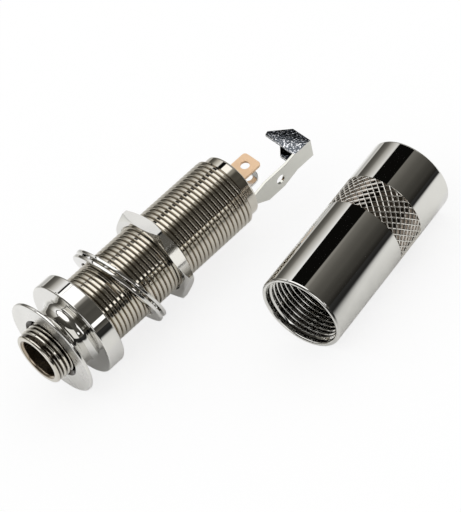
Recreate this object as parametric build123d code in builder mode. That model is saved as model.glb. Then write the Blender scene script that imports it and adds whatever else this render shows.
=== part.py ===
"""Quarter-inch stereo end-pin jack, with its screw-on cover taken off and lying beside it.

X runs along the jack, from the mouth that takes the plug to the end that takes the cable.
Z is up. The origin is the centre of the plug mouth, on the jack's axis. Millimetres.
"""

import os
from math import cos, pi, radians, sin, tan

from build123d import *

os.makedirs("parts", exist_ok=True)

# Clearances
thread_clearance = 0.03  # between the crests of a screwed pair
seat_clearance = 0.05  # between a loose disc and the wall round it
slot_clearance = 0.12  # round a strip that passes a disc
air_gap = 0.02  # between two clamped faces

# Plug bore and threaded neck
bore_d = 6.5
bore_chamfer = 0.2
neck_d = 9.0
neck_lip = 0.4
neck_lip_length = 0.3
neck_exposed = 2.75

# Long threaded barrel behind the neck
thread_d = 11.9
thread_depth = 0.46
thread_length = 29.9
rim_d = 10.75
rim_length = 1.7
rim_bevel = 0.25
cavity_d = 9.2
neck_floor = 2.2
drill_point = 0.8
crimp_thickness = 0.32
crimp_d = 9.0

# Strap button
button_length = 7.2
flange_d = 16.6
flange_rim = 0.5
flange_bevel = 0.15
flange_slope = 0.5
flange_slope_d = 12.6
waist_d = 10.2
waist_sweep = 0.8
collar_d = 16.4
collar_length = 3.0
collar_bevel = 0.2
button_mouth_d = 10.4
button_recess_d = 9.35
button_recess = 1.4
button_seat = 0.5

# Washers that lean on the barrel
washer_tilt = 15.8
washer_rim = 1.65  # width of the flat washer's ring
washer_reach = 6.5
washer_drop = 0.05
flat_washer_play = 1.0  # over the barrel's thread
flat_washer_t = 0.55
lock_washer_play = 1.3
lock_tooth_length = 0.55
lock_washer_t = 0.5
lock_teeth = 14
lock_tooth_width = 1.7
lock_tooth_t = 0.4
lock_tooth_root = 0.2
lock_tooth_twist = 22.0
washer_gap = 0.35

# Hex nut
nut_reach = 13.65
nut_flats = 14.29
nut_t = 2.0
nut_chamfer = 0.66
nut_bore_chamfer = 0.25
nut_turn = 9.2

# Contact stack held by the crimped rim
sheet_t = 0.45
insulator_t = 0.8
plate_d = 9.0
plate_margin = 0.4
ground_ring_bore = 7.4
lug_angle = 106.5
lug_offset = 1.7
lug_hole_d = 1.5
lug_hole_reach = 2.9
tip_lug_w = 3.6
tip_lug_end = 1.8
tip_lug_corner = 0.6
ring_lug_w = 3.2
plate_cut = 0.8

# Contact leaves, as seen along the jack: distance behind the plug mouth and from the axis
leaf_t = 0.3
leaf_w = 2.2
leaf_root_r = 3.55
tip_contact_x = 27.9
tip_contact_r = 2.5
tip_shoulder_r = 3.2
ring_contact_x = 22.5
ring_contact_r = 2.75
ring_shoulder_r = 3.35
leaf_hook = 1.7
leaf_end = 1.0
leaf_end_rise = 0.45

# Insulating tube
liner_t = 0.25
liner_front = 1.5

# Ground arm with its cable clamp
arm_angle = 196.5
arm_r = 4.6
arm_root_w = 1.9
arm_root_shift = -0.5
arm_neck = 2.65
arm_wide_length = 3.4
arm_wide_w = 4.2
arm_wide_shift = -0.95
arm_shoulder = 1.0
arm_length = 12.6
arm_clamp_w = 3.65
arm_clamp_shift = -0.2
arm_hole_d = 1.7
arm_hole_reach = 5.55
wing_length = 3.5
wing_reach = 6.3
wing_slant = 2.6
wing_nose = 0.7
wing_nose_drop = 0.23

# Cover
cover_d = 13.3
cover_length = 30.0
cover_angle = 11.16
cover_mouth_x = 27.4
cover_mouth_y = -29.6
cover_lip_wall = 0.66
cover_lip_depth = 0.6
cover_thread_length = 12.0
cover_cavity_d = 11.8
cover_end_wall = 1.2
cable_hole_d = 6.2
cover_end_bevel = 0.25
cover_mouth_bevel = 0.1
knurl_start = 16.6
knurl_length = 5.6
knurl_starts = 34
knurl_angle = 50.0
knurl_depth = 0.32
knurl_fall = 0.05  # at both ends of the band
knurl_core = 0.45

# Places along the jack that follow from the sizes above
shoulder_x = neck_exposed + button_length
seat_face_x = shoulder_x - button_seat
rim_x = shoulder_x + thread_length
rear_x = rim_x + rim_length
stack_back = rear_x - crimp_thickness
ground_x = stack_back - sheet_t
rear_insulator_x = ground_x - insulator_t
ring_plate_x = rear_insulator_x - sheet_t
middle_insulator_x = ring_plate_x - insulator_t
tip_plate_x = middle_insulator_x - sheet_t
seat_x = tip_plate_x - insulator_t
cavity_x = shoulder_x + neck_floor
stack_d = plate_d + 2 * plate_margin
washer_x = shoulder_x + washer_reach
nut_x = shoulder_x + nut_reach
rest_z = -flange_d / 2


def radial_plane(angle):
    """Plane through the axis: x along the jack, z pointing out from the axis at this angle."""
    out = (0, cos(radians(angle)), sin(radians(angle)))
    return Plane(origin=(0, 0, 0), x_dir=(1, 0, 0), z_dir=out)


def side_plane(angle):
    """Plane that holds the axis: x along the jack, y pointing out from it at this angle."""
    across = (0, -sin(radians(angle)), cos(radians(angle)))
    return Plane(origin=(0, 0, 0), x_dir=(1, 0, 0), z_dir=across)


# Barrel: neck, shoulder, long thread and crimped rim are turned from one bar
bore_r = bore_d / 2
neck_r = neck_d / 2
thread_r = thread_d / 2
with BuildPart() as barrel:
    with BuildSketch(Plane.XZ):
        with BuildLine():
            Polyline(
                (0, bore_r + bore_chamfer),
                (0, neck_r),
                (seat_face_x, neck_r),
                (seat_face_x, thread_r - thread_depth),
                (seat_face_x + thread_depth, thread_r),
                (rim_x - thread_depth, thread_r),
                (rim_x, thread_r - thread_depth),
                (rim_x, rim_d / 2),
                (rear_x, rim_d / 2),
                (rear_x, crimp_d / 2),
                (stack_back, crimp_d / 2),
                (stack_back, stack_d / 2),
                (seat_x, stack_d / 2),
                (seat_x, cavity_d / 2),
                (cavity_x, cavity_d / 2),
                (cavity_x - drill_point, bore_r),
                (bore_chamfer, bore_r),
                close=True,
            )
        make_face()
    revolve(axis=Axis.X)
    rims = barrel.edges().filter_by(GeomType.CIRCLE)
    lip_edge = rims.group_by(Axis.X)[0].sort_by(SortBy.RADIUS)[-1]
    rear_edge = rims.group_by(Axis.X)[-1].sort_by(SortBy.RADIUS)[-1]
    chamfer(lip_edge, length=neck_lip, length2=neck_lip_length)
    chamfer(rear_edge, length=rim_bevel)
    # Notch in the crimp where the ground arm leaves
    with BuildSketch(radial_plane(arm_angle).offset(arm_r - sheet_t - slot_clearance)):
        with Locations(((stack_back + rear_x) / 2, arm_root_shift)):
            Rectangle(crimp_thickness, arm_root_w + 2 * slot_clearance)
    extrude(amount=sheet_t + 2 * slot_clearance, mode=Mode.SUBTRACT)
barrel.part.label = "barrel"
export_step(barrel.part, "parts/barrel.step")


# Strap button: a turned spool that screws on the neck, with a recess for the barrel's shoulder
button_x = neck_exposed
waist_r = waist_d / 2
collar_x = shoulder_x - collar_length
slope_x = button_x + flange_rim + flange_slope
slope_r = flange_slope_d / 2
with BuildPart() as strap_button:
    with BuildSketch(Plane.XZ):
        with BuildLine():
            Polyline(
                (slope_x, slope_r),
                (button_x + flange_rim, flange_d / 2),
                (button_x, flange_d / 2),
                (button_x, button_mouth_d / 2),
                (button_x + (button_mouth_d - button_recess_d) / 2, button_recess_d / 2),
                (button_x + button_recess, button_recess_d / 2),
                (button_x + button_recess, neck_r + thread_clearance),
                (seat_face_x, neck_r + thread_clearance),
                (seat_face_x, thread_r + thread_clearance),
                (shoulder_x, thread_r + thread_clearance),
                (shoulder_x, collar_d / 2),
                (collar_x, collar_d / 2),
                (collar_x, waist_r + waist_sweep),
                (collar_x - waist_sweep, waist_r),
            )
            Spline(
                (collar_x - waist_sweep, waist_r),
                (slope_x, slope_r),
                tangents=[(-1, 0), (-flange_slope, waist_sweep)],
            )
        make_face()
    revolve(axis=Axis.X)
    rims = strap_button.edges().filter_by(GeomType.CIRCLE)
    chamfer(rims.group_by(Axis.X)[0].sort_by(SortBy.RADIUS)[-1], length=flange_bevel)
    chamfer(rims.group_by(Axis.X)[-1].sort_by(SortBy.RADIUS)[-1], length=collar_bevel)
strap_button.part.label = "strap_button"
export_step(strap_button.part, "parts/strap_button.step")


# Both washers hang on the barrel, leaning forward at the top
washer_bore_r = (thread_d + flat_washer_play) / 2
washer_r = washer_bore_r + washer_rim
lean = (cos(radians(washer_tilt)), 0, sin(radians(washer_tilt)))
washer_plane = Plane(origin=(washer_x, 0, -washer_drop), x_dir=(0, 1, 0), z_dir=lean)
with BuildPart() as flat_washer:
    with BuildSketch(washer_plane):
        Circle(washer_r)
        Circle(washer_bore_r, mode=Mode.SUBTRACT)
    extrude(amount=flat_washer_t)
flat_washer.part.label = "flat_washer"
export_step(flat_washer.part, "parts/flat_washer.step")


# Internal-tooth lock washer, each tooth twisted out of the ring's plane
tooth_inner_r = (thread_d + lock_washer_play) / 2
ring_inner_r = tooth_inner_r + lock_tooth_length
tooth_outer_r = ring_inner_r + lock_tooth_root
lock_plane = washer_plane.offset(flat_washer_t + washer_gap)
with BuildPart(lock_plane) as lock_washer:
    with BuildSketch(lock_plane):
        Circle(washer_r)
        Circle(ring_inner_r, mode=Mode.SUBTRACT)
    extrude(amount=lock_washer_t)
    with Locations((0, 0, lock_washer_t / 2)):
        with PolarLocations((tooth_inner_r + tooth_outer_r) / 2, lock_teeth):
            Box(
                tooth_outer_r - tooth_inner_r,
                lock_tooth_width,
                lock_tooth_t,
                rotation=(lock_tooth_twist, 0, 0),
            )
lock_washer.part.label = "lock_washer"
export_step(lock_washer.part, "parts/lock_washer.step")


# Hex nut, chamfered on both faces, with a countersink at each end of its bore
nut_corner_r = nut_flats / 2 / cos(pi / 6)
nut_bore_r = thread_r + thread_clearance
with BuildPart() as hex_nut:
    with BuildSketch(Plane.YZ.offset(nut_x)):
        RegularPolygon(nut_flats / 2, 6, major_radius=False, rotation=nut_turn)
        Circle(nut_bore_r, mode=Mode.SUBTRACT)
    extrude(amount=nut_t)
    with BuildSketch(Plane.XZ):
        Polygon(
            (nut_x, 0),
            (nut_x, nut_flats / 2),
            (nut_x + nut_chamfer, nut_corner_r),
            (nut_x + nut_t - nut_chamfer, nut_corner_r),
            (nut_x + nut_t, nut_flats / 2),
            (nut_x + nut_t, 0),
            align=None,
        )
    revolve(axis=Axis.X, mode=Mode.INTERSECT)
    bore_rims = hex_nut.edges().filter_by(lambda e: e.geom_type == GeomType.CIRCLE)
    bore_rims = bore_rims.filter_by(lambda e: abs(e.radius - nut_bore_r) < 1e-4)
    chamfer(bore_rims, length=nut_bore_chamfer)
hex_nut.part.label = "hex_nut"
export_step(hex_nut.part, "parts/hex_nut.step")


# Insulating tube that keeps the leaves off the barrel wall
liner_d = cavity_d - 2 * seat_clearance
with BuildPart() as liner_tube:
    with BuildSketch(Plane.YZ.offset(cavity_x + liner_front)):
        Circle(liner_d / 2)
        Circle(liner_d / 2 - liner_t, mode=Mode.SUBTRACT)
    extrude(amount=seat_x - air_gap - cavity_x - liner_front)
liner_tube.part.label = "liner_tube"
export_step(liner_tube.part, "parts/liner_tube.step")


def strip_slot(angle, inner_r, thickness, width):
    """Cuts from a disc's outline the slot for a strip that lies at this angle and radius."""
    with Locations(Location((0, 0, 0), (0, 0, angle))):
        with Locations((inner_r + thickness / 2, 0)):
            Rectangle(
                thickness + 2 * slot_clearance, width + 2 * slot_clearance, mode=Mode.SUBTRACT
            )


insulator_d = stack_d - 2 * seat_clearance
insulator_body = insulator_t - air_gap
lug_inner = lug_offset - sheet_t
ring_angle = lug_angle + 180
leaf_inner = leaf_root_r - leaf_t / 2

# Front insulator: both leaves pass it
with BuildPart() as front_insulator:
    with BuildSketch(Plane.YZ.offset(seat_x)):
        Circle(insulator_d / 2)
        strip_slot(lug_angle, leaf_inner, leaf_t, leaf_w)
        strip_slot(ring_angle, leaf_inner, leaf_t, leaf_w)
    extrude(amount=insulator_body)
front_insulator.part.label = "front_insulator"
export_step(front_insulator.part, "parts/front_insulator.step")

# Middle insulator: the ring leaf and the tip lug pass it
with BuildPart() as middle_insulator:
    with BuildSketch(Plane.YZ.offset(middle_insulator_x)):
        Circle(insulator_d / 2)
        strip_slot(lug_angle, lug_inner, sheet_t, tip_lug_w)
        strip_slot(ring_angle, leaf_inner, leaf_t, leaf_w)
    extrude(amount=insulator_body)
middle_insulator.part.label = "middle_insulator"
export_step(middle_insulator.part, "parts/middle_insulator.step")

# Rear insulator: both lugs pass it
with BuildPart() as rear_insulator:
    with BuildSketch(Plane.YZ.offset(rear_insulator_x)):
        Circle(insulator_d / 2)
        strip_slot(lug_angle, lug_inner, sheet_t, tip_lug_w)
        strip_slot(ring_angle, lug_inner, sheet_t, ring_lug_w)
    extrude(amount=insulator_body)
rear_insulator.part.label = "rear_insulator"
export_step(rear_insulator.part, "parts/rear_insulator.step")


def contact_plate(angle, front):
    """Adds the clamped part of a terminal: a disc cut back on the other terminal's side."""
    with BuildSketch(Plane.YZ.offset(front)) as plate:
        Circle(plate_d / 2)
        with Locations(Location((0, 0, 0), (0, 0, angle))):
            with Locations((-plate_d / 2 - plate_cut, 0)):
                Rectangle(plate_d, plate_d, mode=Mode.SUBTRACT)
    extrude(plate.sketch, amount=sheet_t - air_gap)


# Tip terminal: plate and square-ended solder lug are one stamping
lug_hole_x = rear_x + lug_hole_reach
tip_lug_x = lug_hole_x + tip_lug_end
with BuildPart() as tip_terminal:
    contact_plate(lug_angle, tip_plate_x)
    with BuildSketch(radial_plane(lug_angle).offset(lug_inner)):
        with Locations(((tip_plate_x + tip_lug_x) / 2, 0)):
            Rectangle(tip_lug_x - tip_plate_x, tip_lug_w)
        fillet(vertices().group_by(Axis.X)[-1], radius=tip_lug_corner)
        with Locations((lug_hole_x, 0)):
            Circle(lug_hole_d / 2, mode=Mode.SUBTRACT)
    extrude(amount=sheet_t)
tip_terminal.part.label = "tip_terminal"
export_step(tip_terminal.part, "parts/tip_terminal.step")

# Ring terminal: the same, with a round-ended lug on the other side of the axis
with BuildPart() as ring_terminal:
    contact_plate(ring_angle, ring_plate_x)
    with BuildSketch(radial_plane(ring_angle).offset(lug_inner)):
        with Locations(((ring_plate_x + lug_hole_x) / 2, 0)):
            Rectangle(lug_hole_x - ring_plate_x, ring_lug_w)
        with Locations((lug_hole_x, 0)):
            Circle(ring_lug_w / 2)
            Circle(lug_hole_d / 2, mode=Mode.SUBTRACT)
    extrude(amount=sheet_t)
ring_terminal.part.label = "ring_terminal"
export_step(ring_terminal.part, "parts/ring_terminal.step")


def leaf_strip(angle, root_x, shoulder_r, contact_x, contact_r):
    """Adds one leaf: straight from its root, then bent in to the contact and out again."""
    with BuildSketch(side_plane(angle)) as leaf:
        with BuildLine():
            Polyline(
                (root_x, leaf_root_r),
                (seat_x, leaf_root_r),
                (contact_x + leaf_hook, shoulder_r),
                (contact_x, contact_r),
                (contact_x - leaf_end, contact_r + leaf_end_rise),
            )
        trace(line_width=leaf_t)
    extrude(leaf.sketch, amount=leaf_w / 2, both=True)


# Tip leaf: bears on the tip of the plug
with BuildPart() as tip_spring:
    leaf_strip(
        lug_angle, tip_plate_x - seat_clearance, tip_shoulder_r, tip_contact_x, tip_contact_r
    )
tip_spring.part.label = "tip_spring"
export_step(tip_spring.part, "parts/tip_spring.step")

# Ring leaf: longer, bears on the ring of the plug from the other side
with BuildPart() as ring_spring:
    leaf_strip(
        ring_angle, ring_plate_x - seat_clearance, ring_shoulder_r, ring_contact_x, ring_contact_r
    )
ring_spring.part.label = "ring_spring"
export_step(ring_spring.part, "parts/ring_spring.step")


# Ground arm: ring, strip and two clamp wings are one folded sheet
arm_plane = radial_plane(arm_angle).offset(arm_r - sheet_t)
arm_wide_start = rear_x + arm_neck
arm_wide_end = arm_wide_start + arm_wide_length
arm_end = rear_x + arm_length
clamp_x = arm_end - wing_length
clamp_left = arm_clamp_shift + arm_clamp_w / 2
clamp_right = arm_clamp_shift - arm_clamp_w / 2
with BuildPart() as ground_arm:
    with BuildSketch(Plane.YZ.offset(ground_x)):
        Circle(stack_d / 2 - seat_clearance)
        Circle(ground_ring_bore / 2, mode=Mode.SUBTRACT)
    extrude(amount=sheet_t - air_gap)
    with BuildSketch(arm_plane):
        with BuildLine():
            Polyline(
                (ground_x, arm_root_shift - arm_root_w / 2),
                (rear_x, arm_root_shift - arm_root_w / 2),
                (arm_wide_start, arm_wide_shift - arm_wide_w / 2),
                (arm_wide_end, arm_wide_shift - arm_wide_w / 2),
                (clamp_x, clamp_right),
                (arm_end, clamp_right),
                (arm_end, clamp_left),
                (clamp_x, clamp_left),
                (arm_wide_end + arm_shoulder, arm_wide_shift + arm_wide_w / 2),
                (arm_wide_start, arm_wide_shift + arm_wide_w / 2),
                (rear_x, arm_root_shift + arm_root_w / 2),
                (ground_x, arm_root_shift + arm_root_w / 2),
                close=True,
            )
        make_face()
        with Locations((rear_x + arm_hole_reach, arm_wide_shift)):
            Circle(arm_hole_d / 2, mode=Mode.SUBTRACT)
    extrude(amount=sheet_t)
    # Left wing: its end slants away from the jack
    wing_base = arm_r - sheet_t / 2
    with BuildSketch(side_plane(arm_angle).offset(-clamp_left)):
        with BuildLine():
            Polyline(
                (clamp_x, wing_base),
                (clamp_x, arm_r - wing_reach),
                (clamp_x + wing_nose, arm_r - wing_reach - wing_nose_drop),
                (arm_end, arm_r - wing_reach + wing_slant),
                (arm_end, wing_base),
                close=True,
            )
        make_face()
    extrude(amount=sheet_t)
    # Right wing: its end slants the other way
    with BuildSketch(side_plane(arm_angle).offset(-clamp_right)):
        with BuildLine():
            Polyline(
                (clamp_x, wing_base),
                (clamp_x, arm_r - wing_reach + wing_slant),
                (arm_end - wing_nose, arm_r - wing_reach - wing_nose_drop),
                (arm_end, arm_r - wing_reach),
                (arm_end, wing_base),
                close=True,
            )
        make_face()
    extrude(amount=-sheet_t)
ground_arm.part.label = "ground_arm"
export_step(ground_arm.part, "parts/ground_arm.step")


# Knurled band: a net of ridges that cross at equal steps, with a pit between each four crossings
cover_r = cover_d / 2
knurl_step = pi * cover_d / knurl_starts
knurl_rows = 2 * round(knurl_length * tan(radians(knurl_angle)) / knurl_step)


def knurl_point(row, column):
    """A crossing where row and column are both even or both odd, and else the foot of a pit."""
    depth = knurl_depth * ((row + column) % 2)
    if row in (0, knurl_rows):
        depth = knurl_fall
    turn = radians(180 * column / knurl_starts)
    along = knurl_start + knurl_length * row / knurl_rows
    return Vector((cover_r - depth) * cos(turn), (cover_r - depth) * sin(turn), along)


knurl_facets = []
for row in range(knurl_rows):
    for column in range(2 * knurl_starts):
        here = knurl_point(row, column)
        beside = knurl_point(row, column + 1)
        above = knurl_point(row + 1, column)
        across = knurl_point(row + 1, column + 1)
        # Each step of the net is folded along its ridge
        if (row + column) % 2:
            halves = [(here, beside, above), (beside, across, above)]
        else:
            halves = [(here, beside, across), (here, across, above)]
        knurl_facets += [Face(Wire.make_polygon(half)) for half in halves]
for row in (0, knurl_rows):
    end_ring = [knurl_point(row, column) for column in range(2 * knurl_starts)]
    knurl_facets.append(Face(Wire.make_polygon(end_ring)))
knurl_band = Solid(Shell(knurl_facets))

# Cover: a turned cap with the barrel's thread inside and the knurled band outside
heading = (cos(radians(cover_angle)), sin(radians(cover_angle)), 0)
sideways = (sin(radians(cover_angle)), -cos(radians(cover_angle)), 0)
cover_mouth = (cover_mouth_x, cover_mouth_y, rest_z + cover_r)
cover_section = Plane(origin=cover_mouth, x_dir=heading, z_dir=sideways)
cover_face = Plane(origin=cover_mouth, x_dir=(0, 0, 1), z_dir=heading)
cover_axis = Axis(cover_mouth, heading)
lip_r = cover_r - cover_lip_wall
inner_crest_r = thread_r - thread_depth + thread_clearance
with BuildPart(cover_face) as cover:
    # The bar, necked down where the band goes
    with BuildSketch(cover_section):
        with BuildLine():
            Polyline(
                (0, 0),
                (0, cover_r),
                (knurl_start, cover_r),
                (knurl_start, cover_r - knurl_core),
                (knurl_start + knurl_length, cover_r - knurl_core),
                (knurl_start + knurl_length, cover_r),
                (cover_length, cover_r),
                (cover_length, 0),
                close=True,
            )
        make_face()
    revolve(axis=cover_axis)
    rims = cover.edges().filter_by(GeomType.CIRCLE).group_by(cover_axis)
    chamfer(rims[-1].sort_by(SortBy.RADIUS)[-1], length=cover_end_bevel)
    chamfer(rims[0].sort_by(SortBy.RADIUS)[-1], length=cover_mouth_bevel)
    add(knurl_band)
    # Mouth, thread, cavity and cable hole
    with BuildSketch(cover_section):
        with BuildLine():
            Polyline(
                (0, 0),
                (0, lip_r),
                (cover_lip_depth, lip_r),
                (cover_lip_depth + lip_r - inner_crest_r, inner_crest_r),
                (cover_thread_length, inner_crest_r),
                (cover_thread_length, cover_cavity_d / 2),
                (cover_length - cover_end_wall, cover_cavity_d / 2),
                (cover_length - cover_end_wall, cable_hole_d / 2),
                (cover_length, cable_hole_d / 2),
                (cover_length, 0),
                close=True,
            )
        make_face()
    revolve(axis=cover_axis, mode=Mode.SUBTRACT)
cover.part.label = "cover"
export_step(cover.part, "parts/cover.step")
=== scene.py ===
"""Quarter-inch stereo end-pin jack with its cover taken off, on a white table.

The meshes are made in millimetres, X along the jack, and brought to metres when they are finished.
"""

from math import atan2, cos, hypot, pi, radians, sin, tan

import bmesh
import bpy
from mathutils import Matrix, Vector
from mathutils.geometry import interpolate_bezier


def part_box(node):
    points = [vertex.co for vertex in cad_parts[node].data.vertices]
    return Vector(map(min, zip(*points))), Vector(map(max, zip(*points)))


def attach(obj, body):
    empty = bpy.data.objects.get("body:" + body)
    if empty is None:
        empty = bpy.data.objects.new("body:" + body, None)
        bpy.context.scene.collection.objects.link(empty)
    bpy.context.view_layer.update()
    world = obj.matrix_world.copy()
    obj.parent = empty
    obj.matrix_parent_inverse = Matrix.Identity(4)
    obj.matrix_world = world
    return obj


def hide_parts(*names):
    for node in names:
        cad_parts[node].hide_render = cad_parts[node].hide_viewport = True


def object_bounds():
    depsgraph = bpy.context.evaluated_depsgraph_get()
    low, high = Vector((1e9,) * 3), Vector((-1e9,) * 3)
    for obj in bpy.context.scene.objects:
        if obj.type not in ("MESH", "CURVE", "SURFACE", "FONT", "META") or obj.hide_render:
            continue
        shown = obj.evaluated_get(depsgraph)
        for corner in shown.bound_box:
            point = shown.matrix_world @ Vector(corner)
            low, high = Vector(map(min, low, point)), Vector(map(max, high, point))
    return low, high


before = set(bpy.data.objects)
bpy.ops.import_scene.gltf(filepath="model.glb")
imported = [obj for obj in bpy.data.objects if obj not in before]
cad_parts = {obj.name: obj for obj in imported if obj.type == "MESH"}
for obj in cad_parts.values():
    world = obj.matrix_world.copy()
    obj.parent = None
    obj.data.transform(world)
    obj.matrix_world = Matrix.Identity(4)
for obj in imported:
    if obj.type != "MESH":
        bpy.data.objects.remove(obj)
cad_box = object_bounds()


# Barrel: one piece turned from brass bar, with the plug's bore through a threaded neck, a long
# 32-turns-per-inch thread and a thin rim that is rolled in over the contacts. Bright nickel plate.
def extent(node):
    """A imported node's lowest and highest corners, in millimetres."""
    lowest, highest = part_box(node)
    return lowest * 1000, highest * 1000


def turned(outline, steps=160):
    """Turns an outline of (x, radius, rounding) points about the X axis, as a lathe does."""
    bm = bmesh.new()
    points = [bm.verts.new((x, 0, radius)) for x, radius, rounding in outline]
    bm.faces.new(points)
    for point, (x, radius, rounding) in zip(points, outline):
        if rounding:
            bmesh.ops.bevel(
                bm, geom=[point], offset=rounding, offset_type="OFFSET", segments=4,
                profile=0.5, affect="VERTICES", material=-1,
            )
    # A narrow band at both ends of each long run keeps the run's own reflections straight
    long_run = 0.3
    band = 0.02
    for edge in [edge for edge in bm.edges if edge.calc_length() > long_run]:
        for corner in edge.verts[:]:
            bmesh.utils.edge_split(edge, corner, band / edge.calc_length())
    bmesh.ops.delete(bm, geom=bm.faces[:], context="FACES_ONLY")
    bmesh.ops.spin(
        bm, geom=bm.verts[:] + bm.edges[:], cent=(0, 0, 0), axis=(1, 0, 0),
        angle=2 * pi, steps=steps, use_merge=True,
    )
    bmesh.ops.recalc_face_normals(bm, faces=bm.faces[:])
    return bm


def take_in(bm, other):
    """Adds another bmesh to this one and frees it."""
    passing = bpy.data.meshes.new("passing")
    other.to_mesh(passing)
    other.free()
    bm.from_mesh(passing)
    bpy.data.meshes.remove(passing)


def cut_thread(bm, start, end, root_r, crest_r, pitch, crest_flat, steps=72):
    """Adds a right-hand thread between two places on the X axis, running out at both ends.

    Its flat crest takes a share of the pitch and is rounded off at both edges. Its foot is sunk
    into the core, so that no gap shows between them.
    """
    inwards = 1 if crest_r > root_r else -1
    sunk = root_r - inwards * 0.04
    height = abs(crest_r - sunk)
    half_crest = pitch * crest_flat / 2
    crest_band = 0.02
    rounding = pitch * 0.1
    flank_angle = pi / 6
    turned_over = [
        (half_crest + rounding * sin(radians(angle)), rounding * (1 - cos(radians(angle))))
        for angle in (0, 20, 40, 60)
    ]
    flank_x, flank_fall = turned_over[-1]
    foot = (flank_x + (height - flank_fall) * tan(flank_angle), height)
    half = [(half_crest - crest_band, 0), *turned_over, foot]
    one_turn = bmesh.new()
    section = [
        one_turn.verts.new((x, 0, crest_r - inwards * fall))
        for x, fall in [(-x, fall) for x, fall in reversed(half)] + half
    ]
    for here, there in zip(section, section[1:] + section[:1]):
        one_turn.edges.new((here, there))
    bmesh.ops.spin(
        one_turn, geom=one_turn.verts[:] + one_turn.edges[:], cent=(0, 0, 0), axis=(1, 0, 0),
        dvec=(pitch / steps, 0, 0), angle=2 * pi, steps=steps,
    )
    ridge = bmesh.new()
    turn = bpy.data.meshes.new("thread_turn")
    one_turn.to_mesh(turn)
    one_turn.free()
    for count in range(int((end - start) / pitch)):
        old = len(ridge.verts)
        ridge.from_mesh(turn)
        ridge.verts.ensure_lookup_table()
        bmesh.ops.translate(ridge, vec=(start + count * pitch, 0, 0), verts=ridge.verts[old:])
    bmesh.ops.remove_doubles(ridge, verts=ridge.verts[:], dist=0.001)
    bpy.data.meshes.remove(turn)
    ends = [edge for edge in ridge.edges if edge.is_boundary]
    bmesh.ops.holes_fill(ridge, edges=ends, sides=0)
    for vert in ridge.verts:
        inside = max(0.0, min(vert.co.x - start, end - vert.co.x))
        radius = hypot(vert.co.y, vert.co.z)
        wanted = sunk + inwards * min(abs(radius - sunk), inside)
        vert.co.y *= wanted / radius
        vert.co.z *= wanted / radius
        vert.co.x = min(max(vert.co.x, start), end)
    take_in(bm, ridge)


def piece(bm, name, body, slot, node, *materials, crease=32):
    """Brings a finished mesh to metres, gives it its finish and lets it stand for its node."""
    bmesh.ops.recalc_face_normals(bm, faces=bm.faces[:])
    bmesh.ops.scale(bm, vec=(0.001, 0.001, 0.001), verts=bm.verts[:])
    mesh = bpy.data.meshes.new(name)
    bm.to_mesh(mesh)
    bm.free()
    mesh.shade_smooth()
    mesh.set_sharp_from_angle(angle=radians(crease))
    for material in materials:
        mesh.materials.append(material)
    made = bpy.data.objects.new(name, mesh)
    bpy.context.scene.collection.objects.link(made)
    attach(made, body)
    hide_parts(node)
    return made


def metal(name, colour, roughness, mottle, ripple, fineness=900):
    """Plated metal: mottle spreads its roughness and tint, ripple is the height of its waves."""
    material = bpy.data.materials.new(name)
    material.use_nodes = True
    nodes = material.node_tree.nodes
    links = material.node_tree.links
    shader = nodes["Principled BSDF"]
    shader.inputs["Metallic"].default_value = 1
    place = nodes.new("ShaderNodeTexCoord")
    clouds = nodes.new("ShaderNodeTexNoise")
    clouds.inputs["Scale"].default_value = 260
    clouds.inputs["Detail"].default_value = 4
    links.new(place.outputs["Object"], clouds.inputs["Vector"])
    gloss = nodes.new("ShaderNodeMapRange")
    gloss.inputs["From Min"].default_value = 0.3
    gloss.inputs["From Max"].default_value = 0.7
    gloss.inputs["To Min"].default_value = roughness * (1 - mottle)
    gloss.inputs["To Max"].default_value = roughness * (1 + mottle)
    links.new(clouds.outputs["Fac"], gloss.inputs["Value"])
    links.new(gloss.outputs["Result"], shader.inputs["Roughness"])
    tint = nodes.new("ShaderNodeMix")
    tint.data_type = "RGBA"
    tint.inputs["A"].default_value = (*colour, 1)
    tint.inputs["B"].default_value = (*(c * (1 - mottle * 0.3) for c in colour), 1)
    links.new(clouds.outputs["Fac"], tint.inputs["Factor"])
    links.new(tint.outputs["Result"], shader.inputs["Base Color"])
    waves = nodes.new("ShaderNodeTexNoise")
    waves.inputs["Scale"].default_value = fineness
    waves.inputs["Detail"].default_value = 2
    links.new(place.outputs["Object"], waves.inputs["Vector"])
    bump = nodes.new("ShaderNodeBump")
    bump.inputs["Strength"].default_value = 0.4
    bump.inputs["Distance"].default_value = ripple
    links.new(waves.outputs["Fac"], bump.inputs["Height"])
    links.new(bump.outputs["Normal"], shader.inputs["Normal"])
    return material


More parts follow.
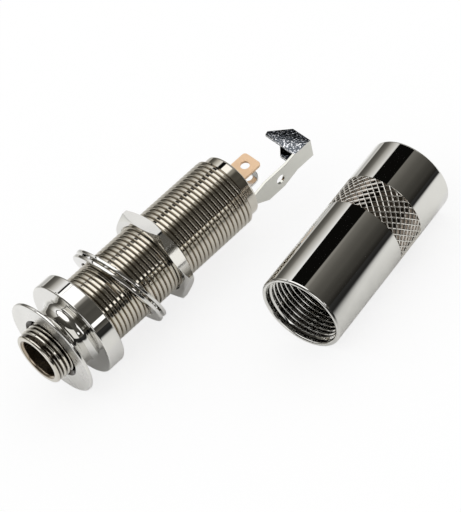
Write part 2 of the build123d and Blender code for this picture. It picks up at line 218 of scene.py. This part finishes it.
def paint_groove_shade(material, bottom_r, top_r, colour, middle=(0, 0, 0), heading=0.0):
    """Paints shade into a thread's or knurl's plate, tinting it towards a colour at the bottom of
    its grooves.

    The two radii are measured from an axis through the middle, turned by the heading.
    """
    nodes = material.node_tree.nodes
    links = material.node_tree.links
    place = nodes.new("ShaderNodeTexCoord")
    own = nodes.new("ShaderNodeMapping")
    own.vector_type = "TEXTURE"
    own.inputs["Location"].default_value = [c / 1000 for c in middle]
    own.inputs["Rotation"].default_value = (0, 0, heading)
    links.new(place.outputs["Object"], own.inputs["Vector"])
    flat = nodes.new("ShaderNodeVectorMath")
    flat.operation = "MULTIPLY"
    flat.inputs[1].default_value = (0, 1, 1)
    links.new(own.outputs["Vector"], flat.inputs[0])
    from_axis = nodes.new("ShaderNodeVectorMath")
    from_axis.operation = "LENGTH"
    links.new(flat.outputs["Vector"], from_axis.inputs[0])
    climb = nodes.new("ShaderNodeMapRange")
    climb.inputs["From Min"].default_value = bottom_r / 1000
    climb.inputs["From Max"].default_value = top_r / 1000
    links.new(from_axis.outputs["Value"], climb.inputs["Value"])
    painted_shade = nodes.new("ShaderNodeMix")
    painted_shade.data_type = "RGBA"
    painted_shade.inputs["A"].default_value = (*colour, 1)
    links.new(climb.outputs["Result"], painted_shade.inputs["Factor"])
    shader = nodes["Principled BSDF"]
    links.new(shader.inputs["Base Color"].links[0].from_socket, painted_shade.inputs["B"])
    links.new(painted_shade.outputs["Result"], shader.inputs["Base Color"])


nickel = metal("bright_nickel", (0.81, 0.80, 0.77), 0.02, 0.5, 0.000001)
warm_nickel = metal("warm_nickel", (0.7, 0.665, 0.59), 0.025, 0.5, 0.000001)
thread_nickel = metal("thread_nickel", (0.68, 0.64, 0.56), 0.025, 0.5, 0.000001)
neck_nickel = metal("neck_nickel", (0.8, 0.77, 0.7), 0.03, 0.5, 0.000001)
# The bore's material is a rougher copy of the nickel, with painted shade in its darker colour
rough_shaded_bore = metal("bored_nickel", (0.44, 0.37, 0.285), 0.23, 0.3, 0.000006)
barrel_high = extent("barrel")[1]
button_low, button_high = extent("strap_button")
thread_r = barrel_high.y
rear_x = barrel_high.x
shoulder_x = button_high.x
thread_pitch = 25.4 / 32
thread_depth = 0.34
root_r = thread_r - thread_depth
thread_crest = 0.42
bore_r = 3.25
bore_bevel = 0.3
neck_r = 4.5
neck_pitch = 0.75
neck_root_r = 4.12
neck_lip_r = neck_r - 0.1
neck_lip = 0.36
neck_start = 0.42
neck_crest = 0.22
rim_x = rear_x - 1.7
rim_r = 5.375
rim_step = 0.05
crimp_r = 4.5
crimp_front = rear_x - 0.32
stack_r = 4.9
cavity_r = 4.6
cavity_x = shoulder_x + 2.2
cavity_slope = 0.8
stack_front = rear_x - 4.07
seat_front = shoulder_x - 0.5
barrel = turned([
    (0, bore_r + bore_bevel, 0.15),
    (0, neck_lip_r, 0.3),
    (neck_lip, neck_lip_r, 0.03),
    (neck_start, neck_root_r, 0),
    (seat_front, neck_root_r, 0),
    (seat_front, root_r, 0),
    (rim_x - 2 * rim_step, root_r, 0.05),
    (rim_x - rim_step, rim_r, 0.05),
    (rear_x, rim_r, 0.4),
    (rear_x, crimp_r, 0.06),
    (crimp_front, crimp_r, 0.06),
    (crimp_front, stack_r, 0),
    (stack_front, stack_r, 0),
    (stack_front, cavity_r, 0),
    (cavity_x, cavity_r, 0),
    (cavity_x - cavity_slope, bore_r, 0),
    (bore_bevel, bore_r, 0.1),
])
# Its finishes are numbered: 0 the long thread, 1 the bore and cavity, painted darker as shade, 2
# the neck, 3 the rest
for face in barrel.faces:
    middle = face.calc_center_median()
    reach = hypot(middle.y, middle.z)
    inside = bore_bevel / 2 < middle.x < crimp_front and reach < stack_r + 0.01
    on_neck = middle.x < seat_front + 0.1 and reach > bore_r + bore_bevel
    if inside and not on_neck:
        face.material_index = 1
# The rolled rim opens where the ground arm leaves
arm_angle = radians(196.5)
arm_out = Vector((0, cos(arm_angle), sin(arm_angle)))
arm_side = Vector((0, -sin(arm_angle), cos(arm_angle)))
notch_r = 4.72
notch_middle = -0.5
notch_half = 1.1
for vert in barrel.verts:
    off_middle = abs(vert.co.dot(arm_side) - notch_middle)
    near_arm = off_middle < notch_half and vert.co.dot(arm_out) > 0
    reach = hypot(vert.co.y, vert.co.z)
    if near_arm and vert.co.x > crimp_front - 0.01 and reach < notch_r:
        vert.co.y *= notch_r / reach
        vert.co.z *= notch_r / reach
cut_thread(barrel, 0.5, 4.2, neck_root_r, neck_r, neck_pitch, neck_crest)
cut_thread(barrel, shoulder_x - 0.3, rim_x, root_r, thread_r, thread_pitch, thread_crest)
for face in barrel.faces:
    middle = face.calc_center_median()
    outside = hypot(middle.y, middle.z) > bore_r + bore_bevel + 0.05
    if face.material_index or not outside:
        continue
    if neck_lip + 0.01 < middle.x < seat_front:
        face.material_index = 2
    elif not seat_front < middle.x < rim_x - 0.02:
        face.material_index = 3
# Painted shade: the plate is tinted darker and browner towards the bottom of the threads
paint_groove_shade(thread_nickel, root_r + 0.04, thread_r - 0.03, (0.24, 0.2, 0.145))
paint_groove_shade(neck_nickel, neck_root_r + 0.05, neck_r - 0.04, (0.07, 0.055, 0.04))
piece(
    barrel, "threaded_barrel", "jack", "nickel", "barrel", thread_nickel, rough_shaded_bore,
    neck_nickel, warm_nickel, crease=24,
)


# Strap button: one turned and polished piece of brass, screwed on the neck against the barrel's
# shoulder. The strap's hole goes over the thin flange and sits in the waist before the collar.
flange_r = button_high.y
button_x = button_low.x
collar_r = 8.2
collar_x = shoulder_x - 3.0
waist_r = 5.1
slope_x = button_x + 1.0
slope_r = 6.3
flange_back = button_x + 0.5
waist_x = collar_x - 1.1
hole_r = 4.675
hole_bevel = 0.525
recess_x = button_x + 1.4
thread_play = 0.03
slope_curve = interpolate_bezier(
    Vector((slope_x, slope_r)), Vector((slope_x + 0.5, waist_r + 0.3)),
    Vector((waist_x - 0.7, waist_r)), Vector((waist_x, waist_r)), 14,
)
fillet_curve = interpolate_bezier(
    Vector((waist_x, waist_r)), Vector((waist_x + 0.6, waist_r)),
    Vector((collar_x, waist_r + 0.4)), Vector((collar_x, waist_r + 1.0)), 10,
)
button = turned(
    [(p.x, p.y, 0) for p in reversed(slope_curve + fillet_curve[1:])]
    + [
        (flange_back, flange_r, 0.12),
        (button_x, flange_r, 0.2),
        (button_x, hole_r + hole_bevel, 0.08),
        (button_x + hole_bevel, hole_r, 0.05),
        (recess_x, hole_r, 0.05),
        (recess_x, neck_r + thread_play, 0),
        (seat_front, neck_r + thread_play, 0),
        (seat_front, thread_r + thread_play, 0),
        (shoulder_x, thread_r + thread_play, 0.05),
        (shoulder_x, collar_r, 0.25),
        (collar_x, collar_r, 0.25),
    ]
)
# Finish 1 is on the flange's front and 2 in the hole round the neck
for face in button.faces:
    middle = face.calc_center_median()
    reach = hypot(middle.y, middle.z)
    if middle.x < button_x + 0.01:
        face.material_index = 1
    elif reach < hole_r + hole_bevel + 0.05 and middle.x < recess_x + 0.05:
        face.material_index = 2
hole_shade = metal("shaded_nickel", (0.05, 0.042, 0.034), 0.2, 0.3, 0.000002)
satin_nickel = metal("satin_nickel", (0.82, 0.81, 0.78), 0.3, 0.2, 0.000001)
piece(
    button, "polished_strap_button", "jack", "nickel", "strap_button", nickel, satin_nickel,
    hole_shade,
)


# Flat washer: a disc stamped from plated steel, which spreads the nut's load. It is loose on the
# barrel and leans forward on it.
washer_lean = Matrix.Rotation(radians(-15.8), 4, "Y")
washer_place = Matrix.Translation((16.45, 0, -0.05)) @ washer_lean
washer_r = 8.1
washer_hole_r = 6.45
washer_thickness = 0.55
flat_washer = turned([
    (0, washer_hole_r, 0.08),
    (0, washer_r, 0.16),
    (washer_thickness, washer_r, 0.1),
    (washer_thickness, washer_hole_r, 0.08),
])
bmesh.ops.transform(flat_washer, matrix=washer_place, verts=flat_washer.verts[:])
piece(flat_washer, "stamped_flat_washer", "washers", "nickel", "flat_washer", nickel)


# Lock washer: a ring stamped from spring steel, with fourteen teeth round its hole, each twisted
# out of the ring's plane to bite. It leans on the barrel behind the flat washer.
lock_front = 0.9
lock_back = lock_front + 0.5
ring_r = 7.15
teeth = 14
tooth_thickness = 0.4
tooth_width = 1.7
tooth_twist = Matrix.Rotation(radians(22), 3, "Z")
tooth_tip_r = 6.6
tooth_root_r = ring_r + 0.2
lock_washer = turned([
    (lock_front, ring_r, 0.06),
    (lock_front, washer_r, 0.14),
    (lock_back, washer_r, 0.1),
    (lock_back, ring_r, 0.06),
])
tooth = bmesh.new()
bmesh.ops.create_cube(tooth, size=1)
tooth_size = (tooth_thickness, tooth_width, tooth_root_r - tooth_tip_r)
bmesh.ops.scale(tooth, vec=tooth_size, verts=tooth.verts[:])
bmesh.ops.rotate(tooth, cent=(0, 0, 0), matrix=tooth_twist, verts=tooth.verts[:])
tooth_middle = ((lock_front + lock_back) / 2, 0, (tooth_root_r + tooth_tip_r) / 2)
bmesh.ops.translate(tooth, vec=tooth_middle, verts=tooth.verts[:])
bmesh.ops.bevel(
    tooth, geom=tooth.edges[:], offset=0.06, offset_type="OFFSET", segments=2,
    profile=0.5, affect="EDGES", material=-1,
)
bmesh.ops.spin(
    tooth, geom=tooth.verts[:] + tooth.edges[:] + tooth.faces[:], cent=(0, 0, 0),
    axis=(1, 0, 0), angle=2 * pi, steps=teeth, use_duplicate=True, use_merge=True,
)
take_in(lock_washer, tooth)
bmesh.ops.remove_doubles(lock_washer, verts=lock_washer.verts[:], dist=0.0005)
bmesh.ops.transform(lock_washer, matrix=washer_place, verts=lock_washer.verts[:])
piece(lock_washer, "toothed_lock_washer", "washers", "nickel", "lock_washer", nickel)


# Hex nut: cut from plated brass bar, nine-sixteenths of an inch across its flats, its corners
# turned back on both faces. It screws along the barrel to clamp the washers.
nut_low, nut_high = extent("hex_nut")
flat_r = 14.29 / 2
nut_front = nut_low.x
nut_back = nut_high.x
nut_bore_r = thread_r + thread_play
nut_bevel = 0.25
nut_turn = radians(9.2)
corner_back = 0.66
corner_r = flat_r / cos(pi / 6)
corner_fall = corner_back / (corner_r - flat_r)
face_band = 0.02
hair = 0.001
nut = turned([
    (nut_front + nut_bevel, nut_bore_r, 0),
    (nut_front, nut_bore_r + nut_bevel, 0.05),
    (nut_front, flat_r - face_band, 0),
    (nut_front + hair, flat_r, 0),
    (nut_back - hair, flat_r, 0),
    (nut_back, flat_r - face_band, 0),
    (nut_back, nut_bore_r + nut_bevel, 0.05),
    (nut_back - nut_bevel, nut_bore_r, 0),
], steps=192)
# The round bar is pulled out to a hexagon, and its corners fall back with their reach
for vert in nut.verts:
    if hypot(vert.co.y, vert.co.z) > flat_r - hair:
        angle = atan2(vert.co.z, vert.co.y) - nut_turn
        off_flat = (angle % (pi / 3)) - pi / 6
        reach = flat_r / cos(off_flat)
        fall = (reach - flat_r) * corner_fall
        front = vert.co.x < (nut_front + nut_back) / 2
        vert.co.x += fall if front else -fall
        vert.co.y *= reach / flat_r
        vert.co.z *= reach / flat_r
cut_nickel = metal("cut_nickel", (0.8, 0.79, 0.76), 0.05, 0.5, 0.000004, 3000)
piece(nut, "hex_nut_chamfered", "nut", "nickel", "hex_nut", cut_nickel)


# Contacts: stamped sheet, each plate with its lug or leaf. The tip's lug is bare copper-coloured
# sheet, the others are plated. They are stacked between boards and held by the rolled rim.
def stamped(node, edge):
    """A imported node's mesh with its triangles joined and its stamped edges broken."""
    bm = bmesh.new()
    bm.from_mesh(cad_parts[node].data)
    bmesh.ops.scale(bm, vec=(1000, 1000, 1000), verts=bm.verts[:])
    bmesh.ops.remove_doubles(bm, verts=bm.verts[:], dist=0.002)
    bmesh.ops.dissolve_limit(
        bm, angle_limit=radians(2), verts=bm.verts[:], edges=bm.edges[:]
    )
    sharp = [e for e in bm.edges if e.is_manifold and e.calc_face_angle() > radians(35)]
    bmesh.ops.bevel(
        bm, geom=sharp, offset=edge, offset_type="OFFSET", segments=2,
        profile=0.5, affect="EDGES", material=-1, clamp_overlap=True,
    )
    return bm


copper = metal("copper_sheet", (1.0, 0.70, 0.45), 0.35, 0.3, 0.000006)
copper.node_tree.nodes["Principled BSDF"].inputs["Metallic"].default_value = 0.45
sheet_nickel = metal("nickel_sheet", (0.76, 0.75, 0.72), 0.16, 0.4, 0.000005)
spring_alloy = metal("spring_alloy", (0.74, 0.68, 0.54), 0.2, 0.3, 0.000004)
piece(
    stamped("tip_terminal", 0.05), "copper_tip_lug", "jack", "copper", "tip_terminal", copper,
    crease=20,
)
piece(
    stamped("ring_terminal", 0.05), "plated_ring_lug", "jack", "nickel_sheet", "ring_terminal",
    sheet_nickel, crease=20,
)
piece(
    stamped("tip_spring", 0.04), "tip_contact_leaf", "tip_leaf", "spring_metal", "tip_spring",
    spring_alloy, crease=20,
)
piece(
    stamped("ring_spring", 0.04), "ring_contact_leaf", "ring_leaf", "spring_metal",
    "ring_spring", spring_alloy, crease=20,
)


# Ground arm: one folded strip of plated sheet. Its ring is clamped in the stack, and its two
# wings are squeezed over the cable's jacket.
arm_metal = metal("arm_sheet", (0.66, 0.655, 0.6), 0.05, 0.4, 0.000004)
speckled_reflection_sheet = metal("painted_reflection_sheet", (0.72, 0.73, 0.75), 0.05, 0.5, 0.00003, 3300)
# The wings' plate is painted dark with bright specks: a painted dark reflection
nodes = speckled_reflection_sheet.node_tree.nodes
links = speckled_reflection_sheet.node_tree.links
reflection_specks = nodes.new("ShaderNodeMapRange")
reflection_specks.inputs["From Min"].default_value = 0.5
reflection_specks.inputs["From Max"].default_value = 0.64
links.new(nodes["Noise Texture.001"].outputs["Fac"], reflection_specks.inputs["Value"])
shade = nodes.new("ShaderNodeMix")
shade.data_type = "RGBA"
shade.inputs["A"].default_value = (0.09, 0.1, 0.115, 1)
shade.inputs["B"].default_value = (0.8, 0.81, 0.83, 1)
links.new(reflection_specks.outputs["Result"], shade.inputs["Factor"])
links.new(shade.outputs["Result"], nodes["Principled BSDF"].inputs["Base Color"])
arm = stamped("ground_arm", 0.14)
strip_r = max(vert.co.dot(arm_out) for vert in arm.verts)
wing_start = strip_r - 0.75
narrow_area = 0.5
for face in arm.faces:
    middle = face.calc_center_median()
    on_wing = middle.x > rear_x and middle.dot(arm_out) < wing_start
    if on_wing and face.calc_area() > narrow_area:
        face.material_index = 1
piece(
    arm, "folded_ground_arm", "jack", "nickel_sheet", "ground_arm", arm_metal, speckled_reflection_sheet,
    crease=20,
)


# Boards: three discs punched from brown laminated board. They keep the contacts apart, and the
# rolled rim clamps the whole stack.
def board(name, colour, roughness, grain):
    """A matt non-metal with a fine even grain."""
    material = bpy.data.materials.new(name)
    material.use_nodes = True
    nodes = material.node_tree.nodes
    links = material.node_tree.links
    shader = nodes["Principled BSDF"]
    shader.inputs["Roughness"].default_value = roughness
    place = nodes.new("ShaderNodeTexCoord")
    fibres = nodes.new("ShaderNodeTexNoise")
    fibres.inputs["Scale"].default_value = grain
    fibres.inputs["Detail"].default_value = 6
    links.new(place.outputs["Object"], fibres.inputs["Vector"])
    shade = nodes.new("ShaderNodeMix")
    shade.data_type = "RGBA"
    shade.inputs["A"].default_value = (*(c * 0.7 for c in colour), 1)
    shade.inputs["B"].default_value = (*(c * 1.3 for c in colour), 1)
    links.new(fibres.outputs["Fac"], shade.inputs["Factor"])
    links.new(shade.outputs["Result"], shader.inputs["Base Color"])
    bump = nodes.new("ShaderNodeBump")
    bump.inputs["Strength"].default_value = 0.5
    bump.inputs["Distance"].default_value = 0.00002
    links.new(fibres.outputs["Fac"], bump.inputs["Height"])
    links.new(bump.outputs["Normal"], shader.inputs["Normal"])
    return material


fibre = board("laminated_board", (0.16, 0.11, 0.08), 0.6, 2500)
for node in ("front_insulator", "middle_insulator", "rear_insulator"):
    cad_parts[node].data.materials.clear()
    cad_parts[node].data.materials.append(fibre)


# Liner: a tube rolled from thin insulating film. It lies in the barrel's cavity, between the
# leaves and the wall.
liner = board("liner_film", (0.70, 0.68, 0.60), 0.4, 1500)
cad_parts["liner_tube"].data.materials.clear()
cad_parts["liner_tube"].data.materials.append(liner)


# Cover: a turned and polished cap, screwed over the rear of the barrel with the cable through its
# far end. A band of rolled diamond knurl gives it grip. It lies open end forward, taken off.
cover_low, cover_high = extent("cover")
cover_r = (cover_high.z - cover_low.z) / 2
cover_length = 30.0
cover_angle = radians(11.16)
lip_r = cover_r - 0.66
lip_length = 0.6
cover_thread_start = 0.65
cover_thread_end = 12.0
cover_root_r = 5.96
cover_crest_r = 5.66
cover_crest = 0.22
cavity_wall_r = 5.9
cable_r = 3.1
end_wall = 1.2
knurl_start = 16.6
knurl_length = 5.6
knurl_end = knurl_start + knurl_length
knurl_starts = 34
knurl_rows = 10
knurl_step = 2 * pi * cover_r / knurl_starts
knurl_row = knurl_length / knurl_rows
cover = turned([
    (knurl_start, cover_r, 0),
    (0, cover_r, 0.34),
    (0, lip_r, 0.28),
    (lip_length, lip_r - 0.02, 0.05),
    (cover_thread_start, cover_root_r, 0.02),
    (cover_thread_end, cover_root_r, 0),
    (cover_thread_end, cavity_wall_r, 0),
    (cover_length - end_wall, cavity_wall_r, 0.3),
    (cover_length - end_wall, cable_r, 0.05),
    (cover_length, cable_r, 0.2),
    (cover_length, cover_r, 0.3),
    (knurl_end, cover_r, 0),
], steps=4 * knurl_starts)
# Finish 1 is on the inside. The plain wall under the knurl's band makes room for the net.
under_band = []
for face in cover.faces:
    middle = face.calc_center_median()
    reach = hypot(middle.y, middle.z)
    if lip_length + 0.02 < middle.x < cover_length - 0.5 and reach < cover_root_r + 0.1:
        face.material_index = 1
    elif knurl_start < middle.x < knurl_end and reach > cover_r - 0.2:
        under_band.append(face)
bmesh.ops.delete(cover, geom=under_band, context="FACES")
cut_thread(
    cover, cover_thread_start + 0.05, cover_thread_end - 0.1, cover_root_r, cover_crest_r,
    thread_pitch, cover_crest,
)

# The knurl is laid out flat as a net of diamonds, with a pit pressed in each, then rolled up. The
# grid has an odd number of cells, more than the band needs, and is trimmed to it.
net = bmesh.new()
cells = 61
bmesh.ops.create_grid(net, x_segments=cells, y_segments=cells, size=cells / 2)
bmesh.ops.rotate(net, cent=(0, 0, 0), matrix=Matrix.Rotation(pi / 4, 3, "Z"), verts=net.verts[:])
half_diagonal = 1 / 2 ** 0.5
bmesh.ops.scale(
    net, vec=(knurl_row / half_diagonal, knurl_step / 2 / half_diagonal, 1), verts=net.verts[:]
)
for outwards in (-1, 1):
    bmesh.ops.bisect_plane(
        net, geom=net.verts[:] + net.edges[:] + net.faces[:], dist=1e-5,
        plane_co=(outwards * knurl_length / 2, 0, 0), plane_no=(outwards, 0, 0), clear_outer=True,
    )
half_way_round = pi * cover_r
spare = [
    face for face in net.faces
    if not -0.01 < face.calc_center_median().y + half_way_round < 2 * half_way_round - 0.01
]
bmesh.ops.delete(net, geom=spare, context="FACES")
# Each cell, and each half cell at the band's ends, gets a flat-bottomed pit in three steps
whole = max(face.calc_area() for face in net.faces)
pits = [face for face in net.faces if face.calc_area() > whole * 0.4]
for across, down in ((0.065, 0.02), (0.05, 0.04), (0.1, 0.12)):
    bmesh.ops.inset_individual(net, faces=pits, thickness=across, depth=-down)
# The band's ends get as many points as the tube has round it
band_ends = [
    edge for edge in net.edges
    if all(abs(abs(vert.co.x) - knurl_length / 2) < 0.001 for vert in edge.verts)
]
bmesh.ops.subdivide_edges(net, edges=band_ends, cuts=3)
for face in net.faces:
    face.material_index = 2
for vert in net.verts:
    angle = vert.co.y / cover_r
    radius = cover_r + vert.co.z
    vert.co = (
        knurl_start + knurl_length / 2 + vert.co.x,
        -radius * sin(angle),
        radius * cos(angle),
    )
take_in(cover, net)
bmesh.ops.remove_doubles(cover, verts=cover.verts[:], dist=0.002)
cover_mouth = (27.4, -29.6, cover_low.z + cover_r)
lay_down = Matrix.Translation(cover_mouth) @ Matrix.Rotation(cover_angle, 4, "Z")
bmesh.ops.transform(cover, matrix=lay_down, verts=cover.verts[:])
inner_nickel = metal("threaded_nickel", (0.72, 0.675, 0.59), 0.05, 0.5, 0.0000002)
# Painted shade, darker towards the bottom of the inside thread's grooves and of the knurl's pits
paint_groove_shade(
    inner_nickel, cover_root_r - 0.02, cover_crest_r + 0.04, (0.08, 0.07, 0.055),
    cover_mouth, cover_angle,
)
knurl_nickel = metal("knurled_nickel", (0.81, 0.79, 0.74), 0.04, 0.5, 0.000001)
paint_groove_shade(
    knurl_nickel, cover_r - 0.17, cover_r - 0.03, (0.24, 0.2, 0.165), cover_mouth, cover_angle
)
piece(
    cover, "knurled_cover", "jack", "nickel", "cover", nickel, inner_nickel, knurl_nickel
)


# Table: a matt white sheet with a soft shadow. Polished metal sees painted light and shade in its
# colour: it fades to black two or three centimetres in front of the cover, is painted brighter
# than white just behind the jack, and fades to a light grey far behind the jack.
bpy.ops.mesh.primitive_plane_add(size=6, location=(0, 0, cad_box[0][2]))
table = bpy.context.object
table.name = "white_table"
white = bpy.data.materials.new("matt_white")
white.use_nodes = True
nodes = white.node_tree.nodes
links = white.node_tree.links
sheet = nodes["Principled BSDF"]
sheet.inputs["Roughness"].default_value = 1
sheet.inputs["Specular IOR Level"].default_value = 0
near_edge = -100
far_edge = 200
away = (0.33, 0.944, 0)
place = nodes.new("ShaderNodeTexCoord")
across = nodes.new("ShaderNodeVectorMath")
across.operation = "DOT_PRODUCT"
across.inputs[1].default_value = away
links.new(place.outputs["Object"], across.inputs[0])
reach = nodes.new("ShaderNodeMapRange")
reach.inputs["From Min"].default_value = near_edge / 1000
reach.inputs["From Max"].default_value = far_edge / 1000
links.new(across.outputs["Value"], reach.inputs["Value"])
painted_light_ramp = nodes.new("ShaderNodeValToRGB")
stops = painted_light_ramp.color_ramp.elements
# Painted light and shade for the metal's reflections, in millimetres across the table: dark beyond
# its front edge, brighter than white behind the jack
levels = (
    (-80, 0.03), (-41, 0.02), (-37, 0.1), (-33.5, 0.35), (-29, 0.75), (-25, 0.9), (-10, 1.0),
    (0, 1.15), (12, 1.2), (35, 0.95), (80, 0.62), (200, 0.55),
)
while len(stops) < len(levels):
    stops.new(0.5)
for stop, (there, level) in zip(stops, levels):
    stop.position = (there - near_edge) / (far_edge - near_edge)
for stop, (there, level) in zip(stops, levels):
    stop.color = (level, level, level * 0.98, 1)
links.new(reach.outputs["Result"], painted_light_ramp.inputs["Fac"])
# The camera sees plain white, and the metal sees the sheet's painted light and shade
ray = nodes.new("ShaderNodeLightPath")
seen = nodes.new("ShaderNodeMix")
seen.data_type = "RGBA"
seen.clamp_result = True
seen.inputs["B"].default_value = (1, 1, 1, 1)
links.new(ray.outputs["Is Camera Ray"], seen.inputs["Factor"])
links.new(painted_light_ramp.outputs["Color"], seen.inputs["A"])
links.new(seen.outputs["Result"], sheet.inputs["Base Color"])
paler = nodes.new("ShaderNodeMapRange")
paler.inputs["To Min"].default_value = 0.0
paler.inputs["To Max"].default_value = 0.8
links.new(ray.outputs["Is Camera Ray"], paler.inputs["Value"])
glow = nodes.new("ShaderNodeEmission")
shone = nodes.new("ShaderNodeMix")
shone.data_type = "RGBA"
shone.inputs["B"].default_value = (1, 1, 1, 1)
links.new(ray.outputs["Is Camera Ray"], shone.inputs["Factor"])
links.new(painted_light_ramp.outputs["Color"], shone.inputs["A"])
links.new(shone.outputs["Result"], glow.inputs["Color"])
lit = nodes.new("ShaderNodeMixShader")
links.new(paler.outputs["Result"], lit.inputs["Fac"])
links.new(sheet.outputs["BSDF"], lit.inputs[1])
links.new(glow.outputs["Emission"], lit.inputs[2])
links.new(lit.outputs["Shader"], nodes["Material Output"].inputs["Surface"])
table.data.materials.append(white)


# Studio: a white tent. Polished metal sees its soft box overhead, the black cards under that,
# the pale backdrop and the table. Matt surfaces get its even white light.
def bands(tree, elevation, levels):
    """Brightness by the height, in degrees, at which a ray leaves."""
    ramp = tree.nodes.new("ShaderNodeValToRGB")
    stops = ramp.color_ramp.elements
    while len(stops) < len(levels):
        stops.new(0.5)
    for stop, (angle, level) in zip(stops, levels):
        stop.position = (angle + 90) / 180
    for stop, (angle, level) in zip(stops, levels):
        warmth = 0.17 * (1 - min(level, 1))
        stop.color = (level, level * (1 - warmth * 0.3), level * (1 - warmth), 1)
    tree.links.new(elevation, ramp.inputs["Fac"])
    return ramp.outputs["Color"]


studio = bpy.data.worlds.new("studio")
bpy.context.scene.world = studio
studio.use_nodes = True
tent = studio.node_tree
nodes = tent.nodes
links = tent.links
nodes.clear()
direction = nodes.new("ShaderNodeTexCoord")
parts = nodes.new("ShaderNodeSeparateXYZ")
links.new(direction.outputs["Generated"], parts.inputs["Vector"])
climb = nodes.new("ShaderNodeMath")
climb.operation = "ARCSINE"
links.new(parts.outputs["Z"], climb.inputs[0])
height = nodes.new("ShaderNodeMapRange")
height.inputs["From Min"].default_value = -pi / 2
height.inputs["From Max"].default_value = pi / 2
links.new(climb.outputs["Value"], height.inputs["Value"])
elevation = height.outputs["Result"]
overhead = ((65, 0.38), (67, 1.5), (90, 1.5))
before = bands(tent, elevation, (
    (-90, 0.02), (2, 0.022), (5, 0.028), (12, 0.048), (30, 0.09), (39, 0.1), (45, 0.116),
    (50, 0.146), (55, 0.18), (58, 0.28), *overhead,
))
corner = bands(tent, elevation, (
    (-90, 0.02), (2, 0.022), (5, 0.028), (12, 0.05), (19, 0.056), (26, 0.07), (32, 0.09),
    (39, 0.098), (52, 0.085), (59, 0.11), *overhead,
))
aside = bands(tent, elevation, (
    (-90, 0.07), (-10, 0.07), (-1, 0.14), (4, 0.1), (8, 0.06), (20, 0.08), (26, 0.09),
    (37, 0.076), (52, 0.083), (59, 0.11), *overhead,
))
window = bands(tent, elevation, (
    (-90, 0.02), (-2, 0.02), (1, 1.3), (30, 1.3), (33, 0.05), (59, 0.11), *overhead,
))
opening = bands(tent, elevation, (
    (-90, 0.01), (3, 0.02), (20, 0.04), (45, 0.07), (58, 0.1), *overhead,
))
strip = bands(tent, elevation, (
    (-90, 0.07), (-10, 0.07), (-1, 0.14), (4, 0.1), (8, 0.06), (10.5, 0.06), (11, 1.5),
    (19, 1.5), (19.5, 0.09), (37, 0.076), (52, 0.083), (59, 0.11), *overhead,
))
backdrop = (
    (-90, 0.7), (0, 0.72), (4.5, 0.65), (7, 0.1), (10, 0.09), (18, 0.12), (25, 0.19), (33, 0.48),
    (38, 0.64),
)
behind = bands(tent, elevation, (
    *backdrop, (44, 0.7), (46.5, 0.7), (47, 0.004), (63.6, 0.004), (64, 1.5), (90, 1.5),
))
between = bands(tent, elevation, (
    *backdrop, (44, 0.7), (46.5, 0.7), (47, 0.004), (60.2, 0.004), (60.8, 1.5), (90, 1.5),
))
beyond = bands(tent, elevation, (
    *backdrop, (44, 0.85), (48, 1.0), (53.6, 1.0), (54, 0.004), (57.6, 0.004), (58.4, 1.5),
    (90, 1.5),
))
facing = nodes.new("ShaderNodeVectorMath")
facing.operation = "DOT_PRODUCT"
backdrop_way = radians(65)
facing.inputs[1].default_value = (cos(backdrop_way), sin(backdrop_way), 0)
links.new(direction.outputs["Generated"], facing.inputs[0])
compass = nodes.new("ShaderNodeMath")
compass.operation = "ARCTAN2"
links.new(parts.outputs["Y"], compass.inputs[0])
links.new(parts.outputs["X"], compass.inputs[1])
# Each wall takes over from the ones before it between two values of its measure
wall = before
for band, way, least, most in (
    (corner, facing, -0.15, -0.25),
    (aside, facing, -0.48, -0.52),
    (strip, compass, radians(-70), radians(-70.5)),
    (aside, compass, radians(-85), radians(-85.5)),
    (behind, facing, 0.15, 0.17),
    (between, compass, radians(47.8), radians(48.2)),
    (beyond, compass, radians(52.3), radians(52.7)),
    (opening, compass, radians(148), radians(152)),
    (window, compass, radians(-118), radians(-120)),
    (opening, compass, radians(-166), radians(-168)),
):
    side = nodes.new("ShaderNodeMapRange")
    side.inputs["From Min"].default_value = least
    side.inputs["From Max"].default_value = most
    links.new(way.outputs["Value"], side.inputs["Value"])
    joined = nodes.new("ShaderNodeMix")
    joined.data_type = "RGBA"
    links.new(side.outputs["Result"], joined.inputs["Factor"])
    links.new(wall, joined.inputs["A"])
    links.new(band, joined.inputs["B"])
    wall = joined.outputs["Result"]
path = nodes.new("ShaderNodeLightPath")
walls = nodes.new("ShaderNodeBackground")
links.new(wall, walls.inputs["Color"])
white_light = nodes.new("ShaderNodeBackground")
white_light.inputs["Color"].default_value = (1, 1, 1, 1)
choice = nodes.new("ShaderNodeMixShader")
links.new(path.outputs["Is Glossy Ray"], choice.inputs["Fac"])
links.new(white_light.outputs["Background"], choice.inputs[1])
links.new(walls.outputs["Background"], choice.inputs[2])
output = nodes.new("ShaderNodeOutputWorld")
links.new(choice.outputs["Shader"], output.inputs["Surface"])


# Camera: a long lens about 0.44 m away, looking down over the plug's end and turned a little, so
# that the jack rises to the right.
camera_place = Vector((-0.1235, -0.32555, 0.27221))
camera_right = Vector((0.6927, -0.6353, -0.3413)).normalized()
camera_forward = Vector((0.3467, 0.7084, -0.6148)).normalized()
camera_up = camera_right.cross(camera_forward)
lens = bpy.data.cameras.new("long_lens")
lens.sensor_fit = "HORIZONTAL"
lens.sensor_width = 36
lens.lens = 234.27
camera = bpy.data.objects.new("camera", lens)
bpy.context.scene.collection.objects.link(camera)
turn = Matrix((camera_right, camera_up, -camera_forward)).transposed()
camera.matrix_world = Matrix.Translation(camera_place) @ turn.to_4x4()
bpy.context.scene.camera = camera
bpy.context.scene.view_settings.view_transform = "Standard"
